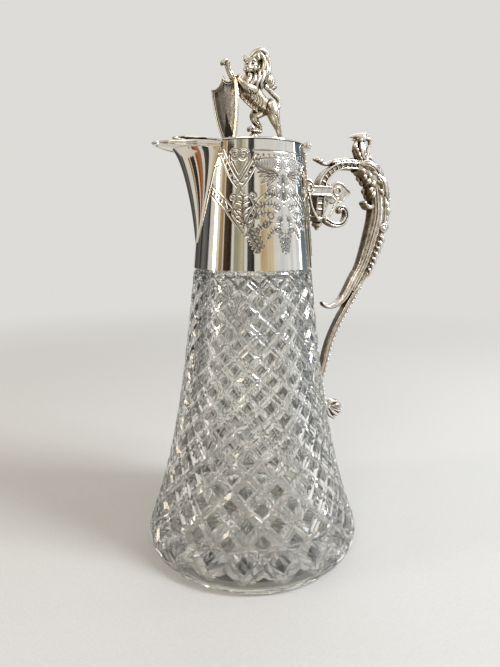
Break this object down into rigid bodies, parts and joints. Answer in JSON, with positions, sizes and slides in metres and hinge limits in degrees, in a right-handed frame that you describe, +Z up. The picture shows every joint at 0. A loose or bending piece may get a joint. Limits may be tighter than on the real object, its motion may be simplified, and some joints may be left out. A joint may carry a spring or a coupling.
{
  "type": "claret jug",
  "caption": "Cut-glass claret jug: silver-plated collar with a V spout, hinged lid with a lion and shield finial, and a scroll handle with a bird thumb-piece.",
  "frame": {"origin": "on the jug's axis, in the plane that the foot ring stands on", "axes": "+Z up along the jug's axis, +X towards the handle and hinge, -X towards the spout, +Y to the left of the spout seen from the handle"},
  "size_m": [0.1573, 0.1308, 0.2828],
  "materials": {
    "cut_glass": "clear, polished, cut with mitre grooves",
    "silver_plate": "bright silver plate, darker in the recesses",
    "brass": "plain turned brass",
    "plaster": "dull white plaster"
  },
  "bodies": {
    "jug": {"glass_body": "cut_glass", "plaster_ring": "plaster", "collar": "silver_plate", "mouth_wire": "silver_plate", "spout": "silver_plate", "spout_rim": "silver_plate", "back_strap": "silver_plate", "collar_hinge": "silver_plate", "hinge_pin": "silver_plate", "bracket_plate_near": "silver_plate", "bracket_plate_far": "silver_plate", "bracket_boss": "silver_plate", "bracket_rivets": "silver_plate", "pendant_drop": "silver_plate", "bracket_scroll": "silver_plate", "handle_arch": "silver_plate", "leaf_tongue": "silver_plate", "thumb_bird": "silver_plate", "handle_scroll": "silver_plate", "inner_scroll": "silver_plate", "tail_curl": "silver_plate", "beaded_strap": "silver_plate", "lower_leaf": "silver_plate"},
    "lid": {"lid_plate": "silver_plate", "lid_bezel": "silver_plate", "lid_hinge_leaf": "silver_plate", "lion": "silver_plate", "paw_ball": "silver_plate", "shield": "silver_plate", "finial_studs": "silver_plate", "stud_washers": "silver_plate", "stud_nuts": "brass"}
  },
  "joints": [
    {"name": "lid_hinge", "type": "hinge", "parent": "jug", "child": "lid", "pos_m": [0.0309, 0, 0.2351], "axis": [0, 1, 0], "range_deg": [0, 90]}
  ]
}
